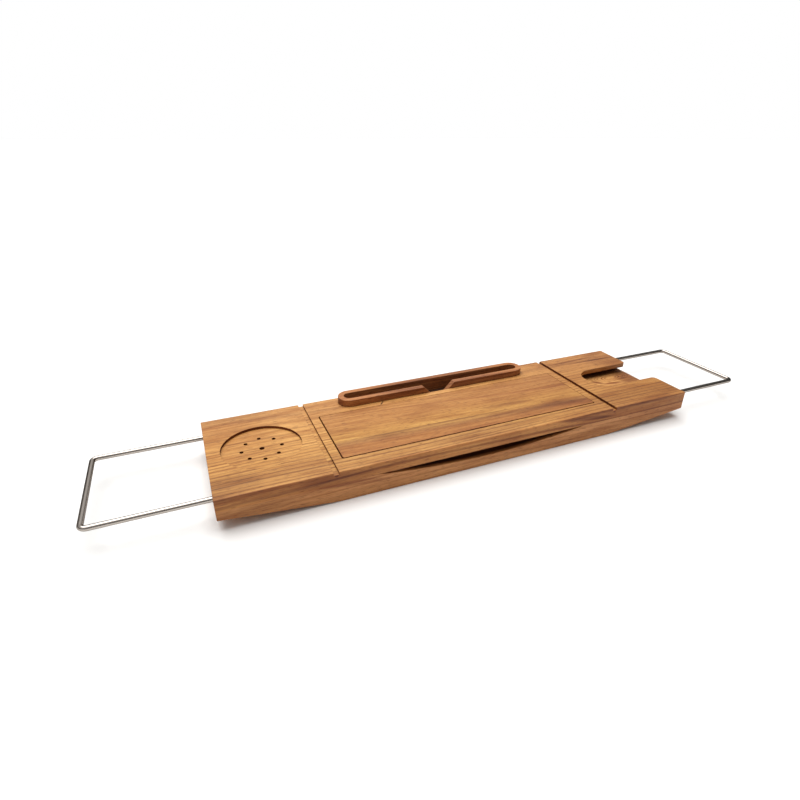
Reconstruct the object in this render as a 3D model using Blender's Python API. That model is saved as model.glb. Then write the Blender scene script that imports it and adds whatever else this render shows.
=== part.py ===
"""Bath caddy: a teak tray that bridges a bath on two sliding wire arms.

X runs along the tray, Y from its front to its back, and Z up. The origin is the
centre of the flat underside, so the top of the tray is at board_height.
Lengths are in metres.
"""

import math

import bmesh
import bpy
from mathutils import Vector

# Tray: a flat deck board glued on a boat-shaped lower board
tray_length = 0.588
tray_depth = 0.1575
deck_thickness = 0.014
lower_thickness = 0.022
lower_end_thickness = 0.0095
underside_flat_length = 0.348
underside_bend_radius = 0.060
edge_ease = 0.0005

# Scoop in the top of the lower board, open at the front and the back
scoop_length = 0.268
scoop_depth = 0.0093

# Two grooves across the deck, over the bends of the underside
groove_spacing = 0.354
groove_width = 0.006
groove_depth = 0.003

# Loose board in the middle of the deck, on a ledge round an opening
pocket_length = 0.329
pocket_width = 0.0972
pocket_back_from_centre = 0.0400
pocket_corner_radius = 0.002
board_thickness = 0.008
board_play = 0.0016
board_ease = 0.0004
ledge_width = 0.008

# Round soap recess at the left, with drain holes through both boards
soap_from_left_end = 0.057
soap_radius = 0.043
soap_depth = 0.0031
drain_circle_radius = 0.0215
drain_radius = 0.0022
centre_drain_radius = 0.0028
drains_on_circle = 8

# Glass holder at the right: a slot for the stem over a wider space for the foot
stem_slot_width = 0.0525
stem_slot_depth = 0.0930
stem_slot_corner_radius = 0.022
prong_tip_radius = 0.006
lip_thickness = 0.006
foot_space_width = 0.082
foot_space_depth = 0.104
foot_space_corner_radius = 0.036

# Reading rail: a ring with round ends, let into the deck near its back edge
rail_length = 0.2645
rail_width = 0.0292
rail_wall = 0.0074
rail_above_deck = 0.0086
rail_in_deck = 0.009
rail_back_margin = 0.0011
rail_ease = 0.0005
notch_top_width = 0.044
notch_below_deck = 0.005
notch_top_radius = 0.003
notch_bottom_radius = 0.005

# Wire arms, each one U-shaped rod that slides in two bores of the tray
rod_radius = 0.00275
rod_below_top = 0.0106
rod_from_front = 0.0185
rod_bend_radius = 0.006
arm_reach = 0.112
arm_pull_out = 0.004
bore_end_web = 0.004

# Plain bushes at the mouths of the bores, and rubber stops on the rod ends
bush_length = 0.020
bush_wall = 0.0017
stop_length = 0.008
stop_wall = 0.0010
stop_clearance = 0.0004

# Fits and cuts
seat_gap = 0.0003
cut_overrun = 0.005

# How finely round shapes are divided
corner_steps = 8
large_corner_steps = 12
small_corner_steps = 3
circle_steps = 24
soap_steps = 72
scoop_steps = 28
rail_end_steps = 20
ease_steps = 2
round_profile = 0.5
wire_section_steps = 4
smooth_angle = math.radians(35)

# Places that follow from the sizes above
board_height = lower_thickness + deck_thickness
half_length = tray_length / 2
half_depth = tray_depth / 2
rod_height = board_height - rod_below_top
rod_offset = half_depth - rod_from_front
soap_x = soap_from_left_end - half_length
pocket_middle_y = pocket_back_from_centre - pocket_width / 2
pocket_floor = board_height - board_thickness
rail_middle_y = half_depth - rail_back_margin - rail_width / 2
rail_floor = board_height - rail_in_deck
rail_top = board_height + rail_above_deck
bore_depth = half_length - pocket_length / 2 - bore_end_web
rod_inside = bush_length + arm_pull_out + seat_gap + stop_length
bush_bore_radius = rod_radius + seat_gap
bush_radius = bush_bore_radius + bush_wall
stop_bore_radius = rod_radius + seat_gap
stop_radius = stop_bore_radius + stop_wall
channel_radius = stop_radius + stop_clearance


def clear_scene():
    """Empty the scene before anything is made."""
    for item in list(bpy.data.objects):
        bpy.data.objects.remove(item, do_unlink=True)


def make_material(name, colour, roughness, metallic=0.0):
    """A Principled material in one colour."""
    material = bpy.data.materials.new(name)
    material.use_nodes = True
    shader = material.node_tree.nodes["Principled BSDF"]
    shader.inputs["Base Color"].default_value = (*colour, 1.0)
    shader.inputs["Roughness"].default_value = roughness
    shader.inputs["Metallic"].default_value = metallic
    material.diffuse_color = (*colour, 1.0)
    return material


def round_corners(corners, closed=True):
    """Points of an outline from corners of (across, along, radius, steps)."""
    points = []
    count = len(corners)
    for index, (across, along, radius, steps) in enumerate(corners):
        corner = Vector((across, along))
        at_end = not closed and index in (0, count - 1)
        if radius == 0 or at_end:
            points.append(corner)
            continue
        before = (Vector(corners[index - 1][:2]) - corner).normalized()
        after = (Vector(corners[(index + 1) % count][:2]) - corner).normalized()
        half_angle = before.angle(after) / 2
        centre = corner + (before + after).normalized() * radius / math.sin(half_angle)
        start = corner + before * radius / math.tan(half_angle)
        sweep = (math.pi - 2 * half_angle) * math.copysign(1, before.cross(after))
        for step in range(steps + 1):
            turn = -sweep * step / steps
            spoke = start - centre
            points.append(centre + Vector((
                spoke.x * math.cos(turn) - spoke.y * math.sin(turn),
                spoke.x * math.sin(turn) + spoke.y * math.cos(turn),
            )))
    return points


def rectangle(low_across, high_across, low_along, high_along, radius=0.0, steps=1):
    """A rectangle's outline, with its corners rounded if a radius is given."""
    return round_corners([
        (low_across, low_along, radius, steps),
        (high_across, low_along, radius, steps),
        (high_across, high_along, radius, steps),
        (low_across, high_along, radius, steps),
    ])


def circle(centre_across, centre_along, radius, steps):
    """A circle's outline."""
    turns = [2 * math.pi * step / steps for step in range(steps)]
    return [
        Vector((centre_across + radius * math.cos(turn), centre_along + radius * math.sin(turn)))
        for turn in turns
    ]


def place(point, level, axis):
    """A point of an outline, at a level along the axis that it is drawn across."""
    if axis == "Y":
        return (point[0], level, point[1])
    return (point[0], point[1], level)


def add_prism(shape, outline, low, high, axis="Z"):
    """Add an outline carried straight from one level to another."""
    first = [shape.verts.new(place(point, low, axis)) for point in outline]
    second = [shape.verts.new(place(point, high, axis)) for point in outline]
    shape.faces.new(first)
    shape.faces.new(second)
    for index in range(len(outline)):
        following = (index + 1) % len(outline)
        shape.faces.new((first[index], first[following], second[following], second[index]))


def add_turned(shape, profile, centre_y, centre_z, hollow):
    """Add a profile of (x, radius) turned about a line along X. A hollow one closes on itself."""
    rings = []
    for x, radius in profile:
        ring = circle(centre_y, centre_z, radius, circle_steps)
        rings.append([shape.verts.new((x, point.x, point.y)) for point in ring])
    pairs = list(zip(rings, rings[1:]))
    if hollow:
        pairs.append((rings[-1], rings[0]))
    else:
        shape.faces.new(rings[0])
        shape.faces.new(rings[-1])
    for ring, further in pairs:
        for index in range(circle_steps):
            following = (index + 1) % circle_steps
            shape.faces.new((ring[index], ring[following], further[following], further[index]))


def ease_edges(shape, chosen, width, steps=ease_steps):
    """Round the outward edges whose two ends the chosen test accepts."""
    bmesh.ops.recalc_face_normals(shape, faces=shape.faces)
    edges = [
        edge for edge in shape.edges
        if edge.is_convex
        and edge.calc_face_angle(0) > smooth_angle
        and chosen(*(vertex.co for vertex in edge.verts))
    ]
    bmesh.ops.bevel(
        shape,
        geom=edges,
        offset=width,
        offset_type="OFFSET",
        segments=steps,
        profile=round_profile,
        affect="EDGES",
    )


def fill_mesh(mesh, shape):
    """Put a shape into a mesh with its faces pointing outwards, smooth but for its real edges."""
    bmesh.ops.recalc_face_normals(shape, faces=shape.faces)
    shape.to_mesh(mesh)
    shape.free()
    mesh.shade_smooth()
    mesh.set_sharp_from_angle(angle=smooth_angle)
    return mesh


def make_piece(name, data, material, location=(0, 0, 0), parent=None):
    """A named object, placed in the scene."""
    piece = bpy.data.objects.new(name, data)
    data.materials.append(material)
    bpy.context.scene.collection.objects.link(piece)
    piece.parent = parent
    piece.location = location
    return piece


def make_solid(name, shape, material, location=(0, 0, 0), parent=None):
    """A piece made of one mesh. Its large faces stay flat beside the rounded edges."""
    piece = make_piece(name, fill_mesh(bpy.data.meshes.new(name), shape), material, location, parent)
    shading = piece.modifiers.new("flat faces", "WEIGHTED_NORMAL")
    shading.keep_sharp = True
    return piece


def make_cutter(name, shape):
    """A helper shape that is only cut away from others."""
    cutter = bpy.data.objects.new(name, fill_mesh(bpy.data.meshes.new(name), shape))
    bpy.context.scene.collection.objects.link(cutter)
    cutter.hide_render = True
    cutter.display_type = "WIRE"
    return cutter


def cut(shape, *cutters):
    """Take each cutter's volume out of a shape, and give back what is left."""
    blank = bpy.data.objects.new("blank", fill_mesh(bpy.data.meshes.new("blank"), shape))
    bpy.context.scene.collection.objects.link(blank)
    for cutter in cutters:
        removal = blank.modifiers.new(cutter.name, "BOOLEAN")
        removal.operation = "DIFFERENCE"
        removal.solver = "EXACT"
        removal.object = cutter
    left_over = bmesh.new()
    left_over.from_object(blank, bpy.context.evaluated_depsgraph_get())
    bpy.data.objects.remove(blank, do_unlink=True)
    return left_over


def remove_cutters():
    """Clear the helper shapes away once everything has been cut."""
    for item in list(bpy.data.objects):
        if item.hide_render:
            bpy.data.objects.remove(item, do_unlink=True)


def prism_cutter(name, outline, low, high, axis="Z"):
    """A cutter of one straight prism."""
    shape = bmesh.new()
    add_prism(shape, outline, low, high, axis)
    return make_cutter(name, shape)


def groove_cutter():
    """Two straight grooves across the deck."""
    shape = bmesh.new()
    for side in (-1, 1):
        middle = side * groove_spacing / 2
        outline = rectangle(
            middle - groove_width / 2,
            middle + groove_width / 2,
            -half_depth - cut_overrun,
            half_depth + cut_overrun,
        )
        add_prism(shape, outline, board_height - groove_depth, board_height + cut_overrun)
    return make_cutter("grooves", shape)


def pocket_cutters():
    """The pocket for the loose board, and the opening inside its ledge."""
    pocket = rectangle(
        -pocket_length / 2,
        pocket_length / 2,
        pocket_middle_y - pocket_width / 2,
        pocket_middle_y + pocket_width / 2,
        radius=pocket_corner_radius,
        steps=small_corner_steps,
    )
    opening = rectangle(
        -pocket_length / 2 + ledge_width,
        pocket_length / 2 - ledge_width,
        pocket_middle_y - pocket_width / 2 + ledge_width,
        pocket_middle_y + pocket_width / 2 - ledge_width,
        radius=ledge_width / 2,
        steps=corner_steps,
    )
    return (
        prism_cutter("board pocket", pocket, pocket_floor, board_height + cut_overrun),
        prism_cutter("ledge opening", opening, lower_thickness - cut_overrun, pocket_floor + cut_overrun),
    )


def soap_cutter():
    """The round soap recess."""
    outline = circle(soap_x, 0, soap_radius, soap_steps)
    return prism_cutter("soap recess", outline, board_height - soap_depth, board_height + cut_overrun)


def drain_cutter():
    """The drain holes: one in the middle and a ring of them round it."""
    shape = bmesh.new()
    holes = [(soap_x, 0, centre_drain_radius)]
    for index in range(drains_on_circle):
        turn = 2 * math.pi * index / drains_on_circle
        x = soap_x + drain_circle_radius * math.cos(turn)
        y = drain_circle_radius * math.sin(turn)
        holes.append((x, y, drain_radius))
    for x, y, radius in holes:
        outline = circle(x, y, radius, circle_steps)
        add_prism(shape, outline, -cut_overrun, board_height + cut_overrun)
    return make_cutter("drains", shape)


def glass_cutters():
    """The stem slot between the two prongs, and the wider foot space under them."""
    half_slot = stem_slot_width / 2
    slot_end = half_length - stem_slot_depth
    half_foot = foot_space_width / 2
    foot_end = half_length - foot_space_depth
    outside = half_length + cut_overrun
    slot = round_corners([
        (outside, -half_slot, 0, 1),
        (slot_end, -half_slot, stem_slot_corner_radius, corner_steps),
        (slot_end, half_slot, stem_slot_corner_radius, corner_steps),
        (outside, half_slot, 0, 1),
    ])
    foot = round_corners([
        (outside, -half_foot, 0, 1),
        (foot_end, -half_foot, foot_space_corner_radius, large_corner_steps),
        (foot_end, half_foot, foot_space_corner_radius, large_corner_steps),
        (outside, half_foot, 0, 1),
    ])
    foot_top = board_height - lip_thickness
    return (
        prism_cutter("stem slot", slot, lower_thickness - cut_overrun, board_height + cut_overrun),
        prism_cutter("foot space", foot, lower_thickness - cut_overrun, foot_top),
    )


def rail_outline(margin):
    """The rail's outline with round ends, grown by a margin."""
    radius = rail_width / 2 + margin
    middle_x = rail_length / 2 - rail_width / 2
    points = []
    for end in (1, -1):
        for step in range(rail_end_steps + 1):
            turn = math.pi * (step / rail_end_steps - end / 2)
            x = end * middle_x + radius * math.cos(turn)
            points.append(Vector((x, rail_middle_y + radius * math.sin(turn))))
    return points


def rail_pocket_cutter():
    """The pocket that the rail is let into."""
    return prism_cutter("rail pocket", rail_outline(seat_gap), rail_floor, board_height + cut_overrun)


def bore_cutter():
    """Four stepped bores from the ends: a seat for the bush, then the channel for the stop."""
    shape = bmesh.new()
    for end in (-1, 1):
        profile = [
            (end * (half_length - bore_depth), channel_radius),
            (end * (half_length - bush_length), channel_radius),
            (end * (half_length - bush_length), bush_radius + seat_gap),
            (end * (half_length + cut_overrun), bush_radius + seat_gap),
        ]
        for side in (-1, 1):
            add_turned(shape, profile, side * rod_offset, rod_height, hollow=False)
    return make_cutter("rod bores", shape)


def make_deck_board(material, drains, bores):
    """The flat deck: a plank with the glass holder, eased, then with everything else cut into it."""
    plank = bmesh.new()
    outline = rectangle(-half_length, half_length, -half_depth, half_depth)
    add_prism(plank, outline, lower_thickness, board_height)
    deck = cut(plank, *glass_cutters())

    def at_prong_tip(first, second):
        at_end = min(first.x, second.x) > half_length - seat_gap
        beside_slot = max(abs(first.y), abs(second.y)) < stem_slot_width / 2 + seat_gap
        return at_end and beside_slot and first.y * second.y > 0

    def above_joint(first, second):
        return max(first.z, second.z) > lower_thickness + seat_gap

    ease_edges(deck, at_prong_tip, prong_tip_radius, corner_steps)
    ease_edges(deck, above_joint, edge_ease)
    deck = cut(deck, groove_cutter(), *pocket_cutters(), soap_cutter(), rail_pocket_cutter())
    deck = cut(deck, drains, bores)
    return make_solid("deck_board", deck, material)


def lower_profile():
    """The lower board seen from the front: boat-shaped below, with the scoop on top."""
    end_level = lower_thickness - lower_end_thickness
    half_scoop = scoop_length / 2
    scoop_radius = (half_scoop ** 2 + scoop_depth ** 2) / (2 * scoop_depth)
    half_sweep = math.asin(half_scoop / scoop_radius)
    points = [Vector((-half_length, lower_thickness))]
    for step in range(scoop_steps + 1):
        turn = half_sweep * (2 * step / scoop_steps - 1)
        drop = scoop_radius * (math.cos(turn) - math.cos(half_sweep))
        points.append(Vector((scoop_radius * math.sin(turn), lower_thickness - drop)))
    points += round_corners([
        (half_length, lower_thickness, 0, 1),
        (half_length, end_level, 0, 1),
        (underside_flat_length / 2, 0, underside_bend_radius, corner_steps),
        (-underside_flat_length / 2, 0, underside_bend_radius, corner_steps),
        (-half_length, end_level, 0, 1),
    ], closed=False)
    return points


def make_lower_board(material, drains, bores):
    """The lower board, whose scoop shows at the front as a long lens-shaped slot."""
    board = bmesh.new()
    add_prism(board, lower_profile(), -half_depth, half_depth, axis="Y")
    end_level = lower_thickness - lower_end_thickness
    scoop_floor = lower_thickness - scoop_depth

    def on_outside(first, second):
        lowest = min(first.z, second.z)
        furthest = max(abs(first.x), abs(second.x))
        in_scoop = lowest > scoop_floor - seat_gap and furthest < scoop_length / 2 + seat_gap
        return lowest < end_level + seat_gap and not in_scoop

    ease_edges(board, on_outside, edge_ease)
    board = cut(board, drains, bores)
    return make_solid("lower_board", board, material)


def notch_cutter():
    """The V-shaped gap in the rail's front wall, down past the deck."""
    depth = rail_above_deck + notch_below_deck
    half_top = notch_top_width / 2
    half_bottom = half_top - depth
    floor = board_height - notch_below_deck
    outline = round_corners([
        (-half_top - cut_overrun, rail_top + cut_overrun, 0, 1),
        (-half_top - cut_overrun, rail_top, 0, 1),
        (-half_top, rail_top, notch_top_radius, corner_steps),
        (-half_bottom, floor, notch_bottom_radius, corner_steps),
        (half_bottom, floor, notch_bottom_radius, corner_steps),
        (half_top, rail_top, notch_top_radius, corner_steps),
        (half_top + cut_overrun, rail_top, 0, 1),
        (half_top + cut_overrun, rail_top + cut_overrun, 0, 1),
    ])
    front = rail_middle_y - rail_width / 2 - cut_overrun
    return prism_cutter("rail notch", outline, front, rail_middle_y, axis="Y")


def make_reading_rail(material):
    """The rail: an upright ring whose slot holds the foot of a book or a magazine."""
    shape = bmesh.new()
    bottom = rail_floor + seat_gap
    loops = [
        [shape.verts.new((*point, level)) for point in rail_outline(margin)]
        for margin, level in ((0, bottom), (0, rail_top), (-rail_wall, rail_top), (-rail_wall, bottom))
    ]
    for loop, further in zip(loops, loops[1:] + loops[:1]):
        for index in range(len(loop)):
            following = (index + 1) % len(loop)
            shape.faces.new((loop[index], loop[following], further[following], further[index]))

    def above_seat(first, second):
        return max(first.z, second.z) > bottom + seat_gap

    rail = cut(shape, notch_cutter())
    ease_edges(rail, above_seat, rail_ease)
    return make_solid("reading_rail", rail, material)


def make_lift_out_board(material):
    """The loose board, pushed to the back and the right of its pocket."""
    left = -pocket_length / 2 + board_play
    right = pocket_length / 2 - seat_gap
    front = pocket_middle_y - pocket_width / 2 + board_play
    back = pocket_middle_y + pocket_width / 2 - seat_gap
    middle = Vector(((left + right) / 2, (front + back) / 2, pocket_floor + seat_gap))
    outline = rectangle(
        left - middle.x,
        right - middle.x,
        front - middle.y,
        back - middle.y,
        radius=pocket_corner_radius,
        steps=small_corner_steps,
    )
    board = bmesh.new()
    add_prism(board, outline, 0, board_height - middle.z)
    ease_edges(board, lambda first, second: True, board_ease)
    return make_solid("lift_out_board", board, material, location=middle)


def arm_path():
    """One arm seen from above, from rod end to rod end. Along X it grows away from the tray."""
    return round_corners([
        (-rod_inside, -rod_offset, 0, 1),
        (arm_reach, -rod_offset, rod_bend_radius, corner_steps),
        (arm_reach, rod_offset, rod_bend_radius, corner_steps),
        (-rod_inside, rod_offset, 0, 1),
    ], closed=False)


def make_arm(name, end, material, carriage):
    """A U-shaped rod bent from one length of round wire."""
    curve = bpy.data.curves.new(name, "CURVE")
    curve.dimensions = "3D"
    curve.bevel_depth = rod_radius
    curve.bevel_resolution = wire_section_steps
    curve.use_fill_caps = True
    spline = curve.splines.new("POLY")
    path = arm_path()
    spline.points.add(len(path) - 1)
    for point, (along, across) in zip(spline.points, path):
        point.co = (end * along, across, 0, 1)
    return make_piece(name, curve, material, parent=carriage)


def make_sleeve(name, x_from, x_to, outer, inner, material, location, parent=None):
    """A short round sleeve about a rod."""
    shape = bmesh.new()
    profile = [(x_from, outer), (x_to, outer), (x_to, inner), (x_from, inner)]
    add_turned(shape, profile, 0, 0, hollow=True)
    return make_solid(name, shape, material, location, parent)


def make_arms(steel, nylon, rubber):
    """Both arms, with the bushes that they slide in and the stops on their ends."""
    for end, side_name in ((-1, "left"), (1, "right")):
        mouth = Vector((end * half_length, 0, rod_height))
        carriage = bpy.data.objects.new(side_name + "_arm_carriage", None)
        bpy.context.scene.collection.objects.link(carriage)
        carriage.location = mouth
        make_arm(side_name + "_arm", end, steel, carriage)
        for side, row_name in ((-1, "front"), (1, "back")):
            offset = Vector((0, side * rod_offset, 0))
            make_sleeve(
                side_name + "_" + row_name + "_bush",
                -end * bush_length, 0, bush_radius, bush_bore_radius,
                nylon, mouth + offset,
            )
            make_sleeve(
                side_name + "_" + row_name + "_rod_stop",
                -end * rod_inside, end * (stop_length - rod_inside), stop_radius, stop_bore_radius,
                rubber, offset, carriage,
            )


def build():
    """Make every piece of the caddy."""
    clear_scene()
    deck_teak = make_material("deck teak", (0.640, 0.325, 0.125), 0.55)
    lower_teak = make_material("lower teak", (0.480, 0.225, 0.085), 0.60)
    rail_teak = make_material("rail teak", (0.420, 0.175, 0.070), 0.55)
    board_teak = make_material("board teak", (0.520, 0.250, 0.105), 0.55)
    steel = make_material("stainless steel", (0.60, 0.58, 0.55), 0.18, metallic=1.0)
    nylon = make_material("nylon", (0.72, 0.70, 0.64), 0.45)
    rubber = make_material("rubber", (0.03, 0.03, 0.03), 0.75)
    drains = drain_cutter()
    bores = bore_cutter()
    make_deck_board(deck_teak, drains, bores)
    make_lower_board(lower_teak, drains, bores)
    make_reading_rail(rail_teak)
    make_lift_out_board(board_teak)
    make_arms(steel, nylon, rubber)
    remove_cutters()


build()
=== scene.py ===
# %% [markdown]
# # A teak bath caddy
# This caddy is a shallow tray of oiled teak that bridges a bath on two wire arms.
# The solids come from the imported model, so nothing here is moved or resized.
# This lesson gives them their finish: wood whose rings run through each board, drawn wire,
# nylon bushes and rubber stops, under the soft light of a small studio.

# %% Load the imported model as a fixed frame
import math

import bmesh
import bpy
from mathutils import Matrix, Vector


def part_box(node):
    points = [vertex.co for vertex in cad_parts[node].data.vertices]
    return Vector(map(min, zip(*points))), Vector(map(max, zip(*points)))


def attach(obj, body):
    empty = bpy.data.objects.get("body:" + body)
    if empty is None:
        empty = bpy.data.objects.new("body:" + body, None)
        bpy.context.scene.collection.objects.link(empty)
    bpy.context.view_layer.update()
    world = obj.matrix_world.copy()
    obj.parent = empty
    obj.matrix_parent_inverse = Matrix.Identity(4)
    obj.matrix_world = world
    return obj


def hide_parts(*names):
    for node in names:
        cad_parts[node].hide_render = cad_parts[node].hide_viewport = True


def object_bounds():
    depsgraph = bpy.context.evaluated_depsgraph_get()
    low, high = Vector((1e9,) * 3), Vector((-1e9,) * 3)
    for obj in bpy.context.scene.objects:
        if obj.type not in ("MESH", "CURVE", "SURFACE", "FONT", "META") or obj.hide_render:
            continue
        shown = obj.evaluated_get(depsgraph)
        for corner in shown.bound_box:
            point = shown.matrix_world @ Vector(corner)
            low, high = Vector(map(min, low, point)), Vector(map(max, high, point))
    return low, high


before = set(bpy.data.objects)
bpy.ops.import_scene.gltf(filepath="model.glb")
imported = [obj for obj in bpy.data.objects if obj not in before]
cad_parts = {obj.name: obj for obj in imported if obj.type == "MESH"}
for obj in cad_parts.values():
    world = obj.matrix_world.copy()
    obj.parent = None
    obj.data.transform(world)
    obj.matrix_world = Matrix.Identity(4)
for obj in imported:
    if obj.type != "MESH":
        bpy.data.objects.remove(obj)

cad_low, cad_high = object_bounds()
scene = bpy.context.scene
print("CAD box in mm:", [round(1000 * side, 1) for side in cad_high - cad_low])

# %% [markdown]
# ## Small helpers
# Colours are written as sRGB hex codes, as a paint chart gives them. Blender works in linear
# light, so one function converts them.
# Shader and geometry trees are built from many nodes. One function adds a node, gives it its
# settings, and links or sets its inputs, so that each tree below reads as a list of steps.
# A socket's identifier is used where two sockets share a name.

# %% Colours, millimetres and one helper for every node
MM = 0.001


def linear(code):
    """An sRGB hex colour as linear red, green, blue and full alpha."""
    shares = [int(code[start:start + 2], 16) / 255 for start in (1, 3, 5)]
    light = [
        share / 12.92 if share <= 0.04045 else ((share + 0.055) / 1.055) ** 2.4
        for share in shares
    ]
    return (*light, 1.0)


def add_node(tree, kind, inputs=None, stops=None, **settings):
    """Add a node with its settings, and link or set its inputs by identifier, name or number.
    A colour ramp's stops are pairs of a place from 0 to 1 and a colour."""
    node = tree.nodes.new(kind)
    for name, value in settings.items():
        setattr(node, name, value)
    for index, (place, colour) in enumerate(stops or []):
        elements = node.color_ramp.elements
        element = elements[index] if index < 2 else elements.new(place)
        element.position = place
        element.color = colour
    for key, value in (inputs or {}).items():
        matching = [socket for socket in node.inputs if socket.identifier == key]
        socket = matching[0] if matching else node.inputs[key]
        if isinstance(value, bpy.types.NodeSocket):
            tree.links.new(value, socket)
        else:
            socket.default_value = value
    return node


print("middle grey in linear light:", round(linear("#808080")[0], 3))

# %% [markdown]
# ## Camera
# The camera stands where the photograph was taken: low, in front of the tray's left half, with
# a wide lens close to the object. Its place was solved from the tray's straight edges.
# Sensor and lens are in mm, the place and the clipping are in metres and the turn is in degrees.

# %% Camera at the photograph's angle
SENSOR_WIDTH = 36.0
LENS = 23.409
CLIP_START = 0.01
CLIP_END = 100.0
CAMERA_PLACE = (-0.28412, -0.49456, 0.33511)
CAMERA_TURN = (62.838, -0.129, -22.753)


def make_camera():
    """A camera at the photograph's place, with its lens."""
    data = bpy.data.cameras.new("camera")
    data.sensor_width = SENSOR_WIDTH
    data.lens = LENS
    data.clip_start = CLIP_START
    data.clip_end = CLIP_END
    camera = bpy.data.objects.new("camera", data)
    camera.location = CAMERA_PLACE
    camera.rotation_euler = [math.radians(turn) for turn in CAMERA_TURN]
    scene.collection.objects.link(camera)
    scene.camera = camera
    return camera


camera = make_camera()
print("camera height in mm:", round(camera.location.z / MM))

# %% [markdown]
# ## Floor and light
# The object stands on a plain pale floor under one very soft light from above, so its top is
# bright and its upright faces are much darker. The light is a sun lamp with a wide angle: it
# gives the same brightness over the whole tray and edges of shadow as soft as a lamp with a
# large cloth in front of it.
# The sky outside the floor is white where the camera sees it, like a paper backdrop. For the
# light that it gives it is brighter overhead and on the left, and dim at the horizon, like a
# dark room. That is why the right arm's wire looks darker than the left one's.
# A soft panel glows behind the tray. It gives the left arm's outer bar something bright to
# mirror, and lays a faint sheen on the wood.

# %% Floor
FLOOR_REACH = 30.0
FLOOR_LEVEL = -0.2 * MM
PAPER_TONE = "#EFEEEC"
PAPER_ROUGHNESS = 0.9


def new_material(name):
    """A material, its node tree and its main shader."""
    material = bpy.data.materials.new(name)
    material.use_nodes = True
    tree = material.node_tree
    return material, tree, tree.nodes["Principled BSDF"]


def pale_paper():
    """Plain matt paper: pale, and too rough to mirror the object."""
    material, tree, shader = new_material("pale matt paper")
    shader.inputs["Base Color"].default_value = linear(PAPER_TONE)
    shader.inputs["Roughness"].default_value = PAPER_ROUGHNESS
    return material


def make_floor():
    """A plain pale floor just under the tray."""
    shape = bmesh.new()
    corners = [(-1, -1), (1, -1), (1, 1), (-1, 1)]
    shape.faces.new([
        shape.verts.new((x * FLOOR_REACH, y * FLOOR_REACH, FLOOR_LEVEL)) for x, y in corners
    ])
    mesh = bpy.data.meshes.new("floor")
    shape.to_mesh(mesh)
    shape.free()
    mesh.materials.append(pale_paper())
    floor = bpy.data.objects.new("floor", mesh)
    scene.collection.objects.link(floor)


make_floor()
print("floor level in mm:", FLOOR_LEVEL / MM)

# %% One soft lamp
# Strength in watts per square metre, width and tilt in degrees.
LAMP_STRENGTH = 3.2
LAMP_WIDTH = 60
LAMP_TILT = (-14, -2, 0)


def make_studio_light():
    """One wide soft lamp from above and a little behind."""
    data = bpy.data.lights.new("soft overhead lamp", "SUN")
    data.energy = LAMP_STRENGTH
    data.angle = math.radians(LAMP_WIDTH)
    lamp = bpy.data.objects.new("soft overhead lamp", data)
    lamp.rotation_euler = [math.radians(tilt) for tilt in LAMP_TILT]
    scene.collection.objects.link(lamp)


make_studio_light()

# %% The room round the lamp
# Heights are shares of straight up, from 0 at the horizon to 1 overhead.
DARK_HEIGHT = 0.1
BRIGHT_HEIGHT = 0.9
HORIZON_GLOW = 0.06
OVERHEAD_GLOW = 0.55
LEFT_SHARE = 1.8
RIGHT_SHARE = 0.2

# The panel starts and is full at these cosines of the angle from its middle.
PANEL_DIRECTION = (0.25, 0.83, 0.5)
PANEL_START = 0.85
PANEL_FULL = 0.95
PANEL_GLOW = 0.5


def room_glow(tree, outwards):
    """How bright the room is in each direction, with its panel."""
    direction = add_node(tree, "ShaderNodeSeparateXYZ", {"Vector": outwards})
    overhead = add_node(tree, "ShaderNodeMapRange", {
        "Value": direction.outputs["Z"], "From Min": DARK_HEIGHT, "From Max": BRIGHT_HEIGHT,
        "To Min": HORIZON_GLOW, "To Max": OVERHEAD_GLOW,
    }, interpolation_type="SMOOTHSTEP")
    sideways = add_node(tree, "ShaderNodeMapRange", {
        "Value": direction.outputs["X"], "From Min": -1.0, "From Max": 1.0,
        "To Min": LEFT_SHARE, "To Max": RIGHT_SHARE,
    })
    towards_panel = add_node(tree, "ShaderNodeVectorMath", {
        0: outwards, 1: PANEL_DIRECTION,
    }, operation="DOT_PRODUCT")
    panel = add_node(tree, "ShaderNodeMapRange", {
        "Value": towards_panel.outputs["Value"],
        "From Min": PANEL_START, "From Max": PANEL_FULL, "To Max": PANEL_GLOW,
    }, interpolation_type="SMOOTHSTEP")
    return add_node(tree, "ShaderNodeMath", {
        0: overhead.outputs[0], 1: sideways.outputs[0], 2: panel.outputs[0],
    }, operation="MULTIPLY_ADD").outputs[0]


def make_surroundings():
    """A white backdrop for the camera, over a room that is dim at the horizon."""
    world = bpy.data.worlds.new("studio")
    scene.world = world
    world.use_nodes = True
    tree = world.node_tree
    tree.nodes.clear()
    white = linear("#FFFFFF")
    outwards = add_node(tree, "ShaderNodeTexCoord").outputs["Generated"]
    room = add_node(tree, "ShaderNodeBackground", {
        "Color": white, "Strength": room_glow(tree, outwards),
    })
    paper = add_node(tree, "ShaderNodeBackground", {"Color": white, "Strength": 1.0})
    seen = add_node(tree, "ShaderNodeLightPath").outputs["Is Camera Ray"]
    mixed = add_node(tree, "ShaderNodeMixShader", {
        0: seen, 1: room.outputs[0], 2: paper.outputs[0],
    })
    add_node(tree, "ShaderNodeOutputWorld", {"Surface": mixed.outputs[0]})


make_surroundings()
scene.view_settings.view_transform = "Standard"
print("room nodes:", len(scene.world.node_tree.nodes))

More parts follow.
